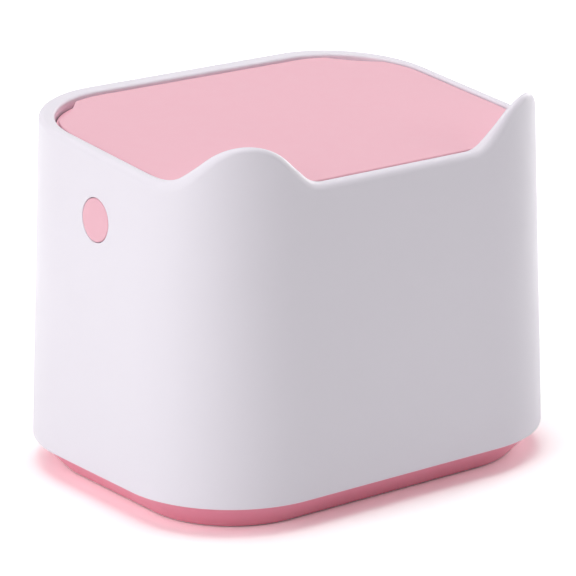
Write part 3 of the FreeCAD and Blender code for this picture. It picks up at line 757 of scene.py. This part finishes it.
class BIN_OT_button(bpy.types.Operator):
    """Pink button, flush with the leaning wall, on its stem"""
    bl_idname = "bin.button"
    bl_label = "Button"

    def execute(self, context):
        s = context.scene.bin_sleeve
        b = context.scene.bin_button
        a = full_turn(96)
        face = Plan(context.scene).face

        def row(radius, depth, flush=True):
            y, z = radius * np.cos(a), radius * np.sin(a)
            x = face + depth + (s.lean * z if flush else 0.0)
            return np.column_stack([np.broadcast_to(x, len(a)), y, b.height + z])

        rim = b.radius
        rows = [row(rim * k, 0.0) for k in (0.12, 0.5, 0.8)]
        rows += [row(rim - b.edge + b.edge * math.sin(t), b.edge * (1 - math.cos(t)))
                 for t in np.linspace(0, math.pi / 2, 7)]
        soft, fillet, bevel = 0.2 * MM, 0.6 * MM, 0.3 * MM
        deep, skin, inside = 5.0 * MM, 2.4 * MM, rim - 1.5 * MM
        end, blind = 12.0 * MM, 3.0 * MM
        back = ((rim, deep - soft), (rim - soft, deep), (inside + soft, deep), (inside, deep - soft),
                (inside, skin + fillet), (inside - fillet, skin), (b.stem + fillet, skin),
                (b.stem, skin + fillet), (b.stem, end - bevel), (b.stem - bevel, end),
                (PILOT, end), (PILOT, end - blind))
        rows += [row(radius, depth, False) for radius, depth in back]
        form = Form()
        form.loft(rows)
        dress(piece("button_cap", form), "button", "lid_pink", "push_button")
        return {"FINISHED"}


class BIN_OT_tray(bpy.types.Operator):
    """Deeper pink tray that flares up to the hem and centres the sleeve"""
    bl_idname = "bin.tray"
    bl_label = "Base tray"

    def execute(self, context):
        s = context.scene.bin_sleeve
        t = context.scene.bin_base
        ring = Ring(np.linspace(0, 1, 9), 36, 36, np.linspace(0, 1, 9))
        foot = np.array([s.half_width - t.foot_inset, s.half_depth - t.foot_inset,
                         t.foot_corner, t.pad_stand])
        lip = np.array([s.half_width - t.lip_inset, s.half_depth - t.lip_inset,
                        s.corner - t.lip_inset, s.base])
        sole_inset, margin, least_corner = 22 * MM, 1 * MM, 8 * MM
        lip_in, lip_under, lip_drop = 0.6 * MM, 0.35 * MM, 0.5 * MM
        run = math.hypot(lip[0] - foot[0], lip[3] - foot[3])
        slope = math.atan2(lip[3] - foot[3], lip[0] - foot[0])
        cut = t.edge * math.tan(slope / 2)

        def side(share, inset=0.0, lift=0.0):
            q = foot + (lip - foot) * share
            return ring.at(q[0] - inset, q[1] - inset, q[2] - inset, q[3] + lift)

        rows = [ring.at(foot[0] - k, foot[1] - k, foot[2] - k, foot[3])
                for k in (sole_inset, cut + margin)]
        for a in np.linspace(0, slope, 6):
            k = cut - t.edge * math.sin(a)
            rows.append(ring.at(foot[0] - k, foot[1] - k, foot[2] - k,
                                foot[3] + t.edge * (1 - math.cos(a))))
        rows += [side(share) for share in (cut / run + 0.04, 0.3, 0.6, 0.93)]
        for u, v in quarter(5):
            rows.append(side(1.0, lip_in * v + lip_under * u, -lip_drop * u))
        inset = s.wall + FIT
        inner = inset + t.ridge_wall
        soft = 0.5 * MM

        def upright(k, z):
            return ring.at(s.half_width - k, s.half_depth - k, s.corner - k, z)

        crest = s.base + t.ridge
        bevel = 0.3 * soft
        ridge = ((inset, s.base), (inset, s.base + soft), (inset, crest - soft),
                 (inset + bevel, crest - bevel), (inset + soft, crest), (inner - soft, crest),
                 (inner, crest - soft), (inner, s.base))
        rows += [upright(k, z) for k, z in ridge]
        flare = (lip[0] - foot[0]) / (lip[3] - foot[3])
        wide = t.wall * math.sqrt(1 + flare ** 2)
        rise = flare * t.wall
        floor = t.pad_stand + t.wall
        rows += [side(0.9, wide), side(0.5, wide)]
        # The cove round the floor, in millimetres out from its foot and up from the floor
        for k, z in ((1.2, 1.0), (0.2, 0.25), (-1.2, 0.0), (-30.0, 0.0)):
            q = foot[:3] + rise - wide + k * MM
            rows.append(ring.at(q[0], q[1], max(q[2], least_corner), floor + z * MM))
        form = Form()
        form.loft(rows)
        dress(piece("tray_shell", form), "base", "base_pink", "base_tray")
        return {"FINISHED"}


KINDS = {"Corner Steps": "Int", "Head Way": "Vector", "Finish": "Material"}


def tree_with(name, *sizes):
    """A new node tree with its geometry in and out, its named sizes and its finish."""
    t = bpy.data.node_groups.new(name, "GeometryNodeTree")
    for way in ("INPUT", "OUTPUT"):
        t.interface.new_socket("Geometry", in_out=way, socket_type="NodeSocketGeometry")
    for label in (*sizes, "Finish"):
        t.interface.new_socket(label, in_out="INPUT",
                               socket_type="NodeSocket" + KINDS.get(label, "Float"))
    return t, node(t, "NodeGroupInput").outputs


def end_tree(t, given, geometry, crease=0.6):
    """Ends a tree in plain, smoothly shaded geometry with its finish."""
    real = out(t, "GeometryNodeRealizeInstances", {"Geometry": geometry})
    shaded = out(t, "GeometryNodeSetShadeSmooth", {"Geometry": real})
    bend = out(t, "GeometryNodeInputMeshEdgeAngle")
    sharp = out(t, "FunctionNodeCompare", {"A": bend, "B": crease}, operation="GREATER_THAN")
    edges = out(t, "GeometryNodeSetShadeSmooth",
                {"Geometry": shaded, "Selection": sharp, "Shade Smooth": False}, domain="EDGE")
    done = out(t, "GeometryNodeSetMaterial", {"Geometry": edges, "Material": given["Finish"]})
    node(t, "NodeGroupOutput", {"Geometry": done})
    return t


def raised(t, geometry, z):
    """Geometry moved up."""
    at = out(t, "ShaderNodeCombineXYZ", {"Z": z})
    return out(t, "GeometryNodeTransform", {"Geometry": geometry, "Translation": at})


def drum(t, steps, radius, depth):
    """A cylinder about the middle."""
    return out(t, "GeometryNodeMeshCylinder", {"Vertices": steps, "Radius": radius, "Depth": depth})


def less(t, body, *tools):
    """A body with tools cut out of it."""
    return out(t, "GeometryNodeMeshBoolean", {"Mesh 1": body, "Mesh 2": list(tools)},
               operation="DIFFERENCE")


def on_points(t, given, parts, **more):
    """The joined parts on every point."""
    whole = out(t, "GeometryNodeJoinGeometry", {"Geometry": parts})
    dots = out(t, "GeometryNodeMeshToPoints", {"Mesh": given["Geometry"]})
    return out(t, "GeometryNodeInstanceOnPoints", {"Points": dots, "Instance": whole, **more})


def grown(name, points, tree, values, line=True):
    """Runs a tree on points, or on the line along them, and keeps the result as a plain mesh."""
    edges = [(i, i + 1) for i in range(len(points) - 1)] if line else []
    seed = bpy.data.meshes.new(name)
    seed.from_pydata([tuple(p) for p in points], edges, [])
    obj = new_object(name, seed)
    m = obj.modifiers.new(name, "NODES")
    m.node_group = tree
    for item in tree.interface.items_tree:
        if item.in_out == "INPUT" and item.name in values:
            m[item.identifier] = values[item.name]
    obj.update_tag()
    made = applied(obj, m)
    if not made.polygons:
        raise RuntimeError("no faces came from the tree for " + name)
    made.name = name
    return obj


def shell_tree():
    """A wall swept round a rounded rectangle, with its floor closed above and below."""
    t, given = tree_with("Rounded shell", "Width", "Depth", "Corner", "Corner Steps",
                         "Underside", "Floor")
    box = out(t, "GeometryNodeCurvePrimitiveQuadrilateral",
              {"Width": given["Width"], "Height": given["Depth"]})
    path = out(t, "GeometryNodeFilletCurve", {"Curve": box, "Radius": given["Corner"],
                                              "Count": given["Corner Steps"]}, mode="POLY")
    profile = out(t, "GeometryNodeMeshToCurve", {"Mesh": given["Geometry"]})
    wall = out(t, "GeometryNodeCurveToMesh", {"Curve": path, "Profile Curve": profile})
    flat = out(t, "GeometryNodeFillCurve", {"Curve": path}, mode="NGONS")
    parts = [wall, raised(t, flat, given["Underside"]), raised(t, flat, given["Floor"])]
    both = out(t, "GeometryNodeJoinGeometry", {"Geometry": parts})
    weld = out(t, "GeometryNodeMergeByDistance", {"Geometry": both, "Distance": WELD})
    return end_tree(t, given, weld)


def swept(name, profile, tree, half, corner, steps, slot):
    """A shell with a profile that runs from its underside to its floor."""
    return grown(name, [(x, -z, 0.0) for x, z in profile], tree,
                 {"Width": 2 * half[0], "Depth": 2 * half[1], "Corner": corner,
                  "Corner Steps": steps, "Underside": profile[0][1], "Floor": profile[-1][1],
                  "Finish": finishes[slot]})


class BIN_OT_pail(bpy.types.Operator):
    """Loose inner pail and the plate under the lid, both swept round their corners"""
    bl_idname = "bin.pail"
    bl_label = "Pail and lid liner"

    def execute(self, context):
        s = context.scene.bin_sleeve
        t = context.scene.bin_base
        tree = shell_tree()
        flare = (t.foot_inset - t.lip_inset) / (s.base - t.pad_stand)
        inset = t.foot_inset + t.wall * (math.sqrt(1 + flare ** 2) - flare) + FIT
        back = 6.0 * MM
        floor_box, lip_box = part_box("inner_pail")
        low, top = floor_box.z, lip_box.z
        lean = (lip_box.x - t.pail_lip - s.half_width + inset) / (top - low)
        floor = low + PAIL_FLOOR

        def out_at(z):
            return back + lean * (z - low)

        thin = t.pail_wall
        lip = t.pail_lip
        foot, cove = 3.0 * MM, 4.0 * MM
        lower, upper, neck, under_lip = 20 * MM, 60 * MM, 4.5 * MM, 2.6 * MM
        prof = [(0.0, low), (back - foot, low)]
        prof += [(back - foot * u + lean * foot * v, low + foot * v) for u, v in quarter(6)][1:]
        prof += [(out_at(z), z) for z in (lower, upper, top - neck, top - under_lip)]
        # The lip in millimetres from the wall's outside, the lip's edge and the wall's inside
        crest = ((0.0, ((0.5, 2.0),)),
                 (lip, ((-0.5, 2.0), (-0.1, 1.7), (0.0, 1.2), (0.0, 0.8), (-0.2, 0.3), (-0.7, 0.0))),
                 (0.0, ((0.3, 0.0),)),
                 (-thin, ((0.8, 0.0), (0.2, 0.25), (0.0, 0.9))))
        prof += [(out_at(top) + edge + x * MM, top - z * MM) for edge, spots in crest for x, z in spots]
        prof += [(out_at(z) - thin, z) for z in (upper, lower)]
        prof += [(out_at(floor + cove) - thin - cove * v, floor + cove * u) for u, v in quarter(7)]
        prof += [(0.0, floor)]
        half = [s.half_width - inset - back, s.half_depth - inset - back]
        pail = swept("pail_shell", prof, tree, half, t.foot_corner - back, 36, "pail_white")
        smooth_closed(pail.data, CREASE)
        dress(pail, "base", "pail_white", "inner_pail")
        lid = context.scene.bin_lid
        plan = Plan(context.scene)
        seat = -lid.top - lid.skirt
        edge, reach = 0.5 * MM, 3 * MM
        prof = [(0.0, seat - LINER), (reach - edge, seat - LINER)]
        prof += [(reach - edge * u, seat - LINER + edge * v) for u, v in quarter(4)][1:]
        prof += [(reach, seat), (0.0, seat)]
        half = [plan.half_width - LINER_SIDE, plan.half_depth - LINER_END]
        liner = swept("liner_plate", prof, tree, half, LINER_END, 18, "inner_white")
        for v in liner.data.vertices:
            v.co = Vector(tilt([v.co.x, v.co.y + plan.middle, v.co.z]))
        smooth_closed(liner.data, CREASE)
        dress(liner, "lid", "inner_white", "lid_liner")
        return {"FINISHED"}


def screw_tree():
    """A pan-head screw with a cross recess on every point, its head to one side."""
    t, given = tree_with("Screws", "Head Radius", "Head Depth", "Recess Depth", "Recess Length",
                         "Recess Width", "Shank Radius", "Shank Length", "Head Way")
    head, recess = given["Head Radius"], given["Recess Depth"]
    low = math_of(t, "SUBTRACT", given["Head Depth"], recess)
    foot = raised(t, drum(t, 32, head, low), math_of(t, "MULTIPLY", low, 0.5))
    top = out(t, "GeometryNodeMeshCone",
              {"Vertices": 32, "Radius Bottom": head, "Radius Top": math_of(t, "MULTIPLY", head, 0.78),
               "Depth": recess})
    bars = []
    for x, y in (("Recess Length", "Recess Width"), ("Recess Width", "Recess Length")):
        size = out(t, "ShaderNodeCombineXYZ", {"X": given[x], "Y": given[y],
                                               "Z": math_of(t, "MULTIPLY", recess, 3.0)})
        bar = out(t, "GeometryNodeMeshCube", {"Size": size})
        bars.append(raised(t, bar, math_of(t, "ADD", low, recess)))
    cut = less(t, raised(t, top, low), *bars)
    shank = raised(t, drum(t, 20, given["Shank Radius"], given["Shank Length"]),
                   math_of(t, "MULTIPLY", given["Shank Length"], -0.5))
    way = out(t, "FunctionNodeAlignRotationToVector", {"Vector": given["Head Way"]}, axis="Z")
    return end_tree(t, given, on_points(t, given, [foot, cut, shank], Rotation=way))


SCREW = {"Head Radius": 1.7 * MM, "Head Depth": 1.3 * MM, "Recess Depth": 0.7 * MM,
         "Recess Length": 2.2 * MM, "Recess Width": 0.5 * MM, "Shank Radius": 1.0 * MM}


class BIN_OT_screws(bpy.types.Operator):
    """Every row of screws, each on the piece that it holds"""
    bl_idname = "bin.screws"
    bl_label = "Screws"

    def execute(self, context):
        sleeve = context.scene.bin_sleeve
        b = context.scene.bin_button
        plan = Plan(context.scene)
        tree = screw_tree()
        depth = plan.hinge_y - BRACKET_REACH - BRACKET_FRONT
        under = {
            "collar_screws": ("sleeve", SHANK, COLLAR, [(k * x, y) for k in PAIR for x, y in (
                (COLLAR_SCREW_X, plan.screw_y), (plan.screw_x, COLLAR_SCREW_Y))]),
            "bracket_screws": ("sleeve", LONG_SHANK, COLLAR + BRACKET, [
                (k * plan.screw_x, BRACKET_FRONT + depth * share)
                for k in PAIR for share in BRACKET_SCREW_SHARES]),
            "liner_screws": ("lid", SHANK, LINER, plan.liner_spots),
            "striker_screws": ("lid", SHANK, STRIKER, plan.striker_spots),
        }
        down = tilt((0.0, 0.0, -1.0)) - tilt((0.0, 0.0, 0.0))
        inwards = (1.0, 0.0, 0.0)
        rows = []
        for name, (body, shank, through, places) in under.items():
            spots = tilt([(x, y, -sleeve.seat - through) for x, y in places])
            rows.append((name, body, shank, spots, down))
        posts = [(plan.face + POST_END + HOUSING, k * POST_Y, b.height) for k in PAIR]
        rows.append(("housing_screws", "sleeve", SHANK, posts, inwards))
        rows.append(("slide_screw", "button", SHANK, [(plan.face + SLIDE_FACE, 0.0, b.height)],
                     inwards))
        for name, body, shank, places, way in rows:
            values = {**SCREW, "Shank Length": shank, "Head Way": tuple(way),
                      "Finish": finishes["steel"]}
            dress(grown(name + "_turned", places, tree, values, line=False), body, "steel", name)
        return {"FINISHED"}


def wire_tree():
    """Round wire along a line."""
    t, given = tree_with("Spring wire", "Wire Radius")
    path = out(t, "GeometryNodeMeshToCurve", {"Mesh": given["Geometry"]})
    ring = out(t, "GeometryNodeCurvePrimitiveCircle", {"Resolution": 12,
                                                       "Radius": given["Wire Radius"]})
    tube = out(t, "GeometryNodeCurveToMesh", {"Curve": path, "Profile Curve": ring,
                                              "Fill Caps": True})
    return end_tree(t, given, tube, 1.0)


class BIN_OT_springs(bpy.types.Operator):
    """Wound springs: one behind the button, one round each hinge pin"""
    bl_idname = "bin.springs"
    bl_label = "Springs"

    def execute(self, context):
        lid = context.scene.bin_lid
        b = context.scene.bin_button
        tree = wire_tree()
        values = {"Wire Radius": WIRE, "Finish": finishes["steel"]}
        low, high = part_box("button_spring")
        coils, radius = 3, 5 * MM
        turns = np.linspace(0, coils, 109)
        x = low.x + WIRE + (high.x - low.x - 2 * WIRE) * turns / coils
        a = 2 * math.pi * turns
        pts = np.column_stack([x, radius * np.sin(a), b.height - radius * np.cos(a)])
        spring = grown("button_coil", pts, tree, values)
        dress(spring, "sleeve", "steel", "button_spring")
        plan = Plan(context.scene)
        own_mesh(spring)
        coils, radius, pitch, leg = 3.5, 2.6 * MM, 1.25 * MM, 11.0 * MM
        gap, hold = 0.7 * MM, 0.4 * MM
        start = plan.knuckle_start - gap - coils * pitch
        turns = np.linspace(0, coils, 127)
        a = 2 * math.pi * turns
        coil = np.column_stack([start + pitch * turns, radius * np.sin(a), -radius * np.cos(a)])
        coil = np.concatenate([[coil[0] - [0, leg, 0]], coil, [coil[-1] - [0, leg, 0]]])
        coil += [0, plan.hinge_y, -lid.top - lid.skirt]
        for name, side in (("right", 1), ("left", -1)):
            obj = grown("lid_coil_" + name, tilt(coil * [side, 1, 1]), tree, values)
            finish(obj, "steel", "lid_spring_" + name)
            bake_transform(obj)
        return {"FINISHED"}


def pad_tree():
    """A round pad with a soft edge and a ring groove on every point."""
    t, given = tree_with("Pads", "Radius", "Height", "Edge")
    radius, edge = given["Radius"], given["Edge"]
    body = math_of(t, "SUBTRACT", given["Height"], edge)
    middle = math_of(t, "ADD", edge, math_of(t, "MULTIPLY", body, 0.5))
    sole = out(t, "GeometryNodeMeshCone",
               {"Vertices": 64, "Radius Top": radius, "Depth": edge,
                "Radius Bottom": math_of(t, "SUBTRACT", radius, edge)})
    groove = less(t, drum(t, 64, math_of(t, "MULTIPLY", radius, 0.7), edge),
                  drum(t, 64, math_of(t, "MULTIPLY", radius, 0.58),
                       math_of(t, "MULTIPLY", edge, 3.0)))
    parts = [raised(t, drum(t, 64, radius, body), middle), less(t, sole, groove)]
    return end_tree(t, given, on_points(t, given, parts))


class BIN_OT_pads(bpy.types.Operator):
    """Four rubber pads under the tray"""
    bl_idname = "bin.pads"
    bl_label = "Foot pads"

    def execute(self, context):
        t = context.scene.bin_base
        low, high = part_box("foot_pads")
        spots = [(x, y, 0.0) for x in (low.x + t.pad, high.x - t.pad)
                 for y in (low.y + t.pad, high.y - t.pad)]
        pads = grown("pads_moulded", spots, pad_tree(),
                     {"Radius": t.pad, "Height": high.z, "Edge": t.pad_stand,
                      "Finish": finishes["pad_rubber"]}, line=False)
        dress(pads, "base", "pad_rubber", "foot_pads")
        return {"FINISHED"}


class BIN_OT_fittings(bpy.types.Operator):
    """Hidden mouldings and steel fittings, with their edges softened"""
    bl_idname = "bin.fittings"
    bl_label = "Inner fittings"

    def execute(self, context):
        slots = {r["node"]: r["material_slot"] for r in frame["record"]["subparts"]}
        bodies = frame["record"]["behaviour"]["bodies"]
        flat, corner = math.radians(1.0), math.radians(50)
        # Width in millimetres of each piece's softened edges
        soft = {"top_collar": 0.3, "hinge_bracket_left": 0.25, "hinge_bracket_right": 0.25,
                "button_housing": 0.3, "catch_slide": 0.3, "striker": 0.2, "catch_magnet": 0.2,
                "hinge_pin_left": 0.2, "hinge_pin_right": 0.2}
        for name, width in soft.items():
            mesh = frame["nodes"][name].data.copy()
            mesh.materials.clear()
            b = bmesh.new()
            b.from_mesh(mesh)
            bmesh.ops.remove_doubles(b, verts=b.verts, dist=WELD)
            bmesh.ops.dissolve_limit(b, angle_limit=flat, verts=b.verts, edges=b.edges)
            b.to_mesh(mesh)
            b.free()
            obj = new_object(name + "_soft", mesh)
            bevel = obj.modifiers.new("soft", "BEVEL")
            bevel.width = width * MM
            bevel.segments = 2
            bevel.limit_method = "ANGLE"
            bevel.angle_limit = corner
            bevel.use_clamp_overlap = True
            smooth(applied(obj, bevel), FITTING_CREASE)
            body = next(k for k, members in bodies.items() if name in members)
            dress(obj, body, slots[name], name)
        return {"FINISHED"}


LAMPS = (
    ("top_bank", (0.0, 0.1, 2.0), (1.6, 1.6), 21.4),
    ("left_low_bank", (-1.9, 0.2, 0.35), (1.2, 0.6), 8.5),
    ("left_upper_bank", (-1.5, -0.1, 1.3), (1.2, 1.2), 7.2),
    ("left_front_bank", (-1.7, -1.0, 0.9), (1.0, 1.0), 5.2),
    ("right_bank", (1.8, 0.6, 0.7), (1.0, 1.2), 11.0),
    ("right_front_bank", (1.6, -1.0, 0.7), (1.0, 1.0), 7.0),
    ("rear_high_bank", (0.0, 1.2, 1.8), (1.2, 1.2), 2.0),
)
LAMPS_AIM = Vector((0.0, 0.0, 0.09))
SKY = 0.03
# Painted light on the floor: a glow for the camera, none within GLOW_START of the bin's middle and GLOW
# from GLOW_FULL on, so the floor is darker near the bin
GLOW = 0.7
GLOW_START = 0.16
GLOW_FULL = 0.42
FLOOR_HALF = 6.0
FLOOR_DEPTH = 9.0
LENS = 209.091
SENSOR = 36.0
CAMERA_SPOT = (-0.88431, -1.16098, 0.53182)
CAMERA_WAY = (0.57858, 0.75976, -0.29668)


def aim(obj, spot, way):
    """Puts a lamp or camera at a spot and turns it one way."""
    obj.location = spot
    obj.rotation_mode = "QUATERNION"
    obj.rotation_quaternion = Vector(way).to_track_quat("-Z", "Y")


class BIN_OT_stage(bpy.types.Operator):
    """Pale floor with painted light, a glow for the camera that grows away from the bin; soft studio
    light and the camera
    """
    bl_idname = "bin.stage"
    bl_label = "Studio"

    def execute(self, context):
        scene = context.scene
        mesh = bpy.data.meshes.new("floor")
        near = [(-FLOOR_HALF, -FLOOR_HALF, 0), (FLOOR_HALF, -FLOOR_HALF, 0)]
        far = [(FLOOR_HALF, FLOOR_DEPTH, 0), (-FLOOR_HALF, FLOOR_DEPTH, 0)]
        mesh.from_pydata(near + far, [], [(0, 1, 2, 3)])
        floor = new_object("floor", mesh)
        m, place, shader = fresh_material("studio_floor")
        t = m.node_tree
        seen = self.seen(t)
        cloud = out(t, "ShaderNodeTexNoise", {"Vector": place, "Scale": 3.0})
        pale = mixed(t, cloud, (0.93, 0.93, 0.93, 1), (0.95, 0.95, 0.95, 1))
        # Painted light: the floor glows for the camera more the further it lies from the bin, and not
        # at all near it
        away = node(t, "ShaderNodeVectorMath", {0: place}, operation="LENGTH").outputs["Value"]
        painted_floor_glow = out(t, "ShaderNodeMapRange",
                         {"Value": away, "From Min": GLOW_START, "From Max": GLOW_FULL,
                          "To Min": 0.0, "To Max": GLOW}, interpolation_type="SMOOTHSTEP")
        fill(t, shader, {"Base Color": mixed(t, seen, pale, (1.5, 1.5, 1.5, 1)),
                         "Roughness": 0.9, "Specular IOR Level": 0.1,
                         "Emission Color": (1, 1, 1, 1),
                         "Emission Strength": math_of(t, "MULTIPLY", seen, painted_floor_glow)})
        mesh.materials.append(m)
        world = scene.world or bpy.data.worlds.new("studio")
        scene.world = world
        world.use_nodes = True
        t = world.node_tree
        t.nodes.clear()
        strength = out(t, "ShaderNodeMapRange", {"Value": self.seen(t), "To Min": SKY,
                                                 "To Max": 1.0})
        sky = out(t, "ShaderNodeBackground", {"Color": (1, 1, 1, 1), "Strength": strength})
        node(t, "ShaderNodeOutputWorld", {"Surface": sky})
        for name, spot, size, power in LAMPS:
            lamp = bpy.data.lights.new(name, "AREA")
            lamp.shape = "RECTANGLE"
            lamp.size, lamp.size_y = size
            lamp.energy = power
            aim(new_object(name, lamp), spot, LAMPS_AIM - Vector(spot))
        cam = bpy.data.cameras.new("camera")
        cam.sensor_width = SENSOR
        cam.lens = LENS
        cam.clip_start, cam.clip_end = 0.05, 50.0
        scene.camera = new_object("camera", cam)
        aim(scene.camera, CAMERA_SPOT, CAMERA_WAY)
        scene.view_settings.view_transform = "Standard"
        return {"FINISHED"}

    @staticmethod
    def seen(t):
        """One for what the camera sees itself, in gloss or through glass, else nothing."""
        path = node(t, "ShaderNodeLightPath").outputs
        pair = math_of(t, "MAXIMUM", path["Is Camera Ray"], path["Is Glossy Ray"])
        return math_of(t, "MAXIMUM", pair, path["Is Transmission Ray"])


class BIN_PT_panel(bpy.types.Panel):
    """Lists the bin's pieces in the sidebar."""
    bl_label = "Cat-eared bin"
    bl_idname = "BIN_PT_panel"
    bl_space_type = "VIEW_3D"
    bl_region_type = "UI"
    bl_category = "Bin"

    def draw(self, context):
        for op in OPERATORS:
            self.layout.operator(op.bl_idname)
        for name in GROUPS:
            group = getattr(context.scene, name)
            column = self.layout.box().column()
            for key in group.bl_rna.properties.keys():
                if key not in ("rna_type", "name"):
                    column.prop(group, key)


GROUPS = {"bin_sleeve": BinSleeveSizes, "bin_lid": BinLidSizes, "bin_button": BinButtonSizes,
          "bin_base": BinBaseSizes, "bin_finishes": BinFinishes}
OPERATORS = (BIN_OT_stage, BIN_OT_sleeve, BIN_OT_lid, BIN_OT_button, BIN_OT_tray, BIN_OT_pail,
             BIN_OT_screws, BIN_OT_springs, BIN_OT_pads, BIN_OT_fittings)


def register():
    for cls in (*GROUPS.values(), *OPERATORS, BIN_PT_panel):
        bpy.utils.register_class(cls)
    for name, cls in GROUPS.items():
        setattr(bpy.types.Scene, name, PointerProperty(type=cls))


def unregister():
    for name in GROUPS:
        delattr(bpy.types.Scene, name)
    for cls in reversed((*GROUPS.values(), *OPERATORS, BIN_PT_panel)):
        bpy.utils.unregister_class(cls)


def main():
    register()
    make_finishes()
    bpy.ops.bin.stage()
    bpy.ops.bin.sleeve()
    bpy.ops.bin.lid()
    bpy.ops.bin.button()
    bpy.ops.bin.tray()
    bpy.ops.bin.pail()
    bpy.ops.bin.screws()
    bpy.ops.bin.springs()
    bpy.ops.bin.pads()
    bpy.ops.bin.fittings()


if __name__ == "__main__":
    main()
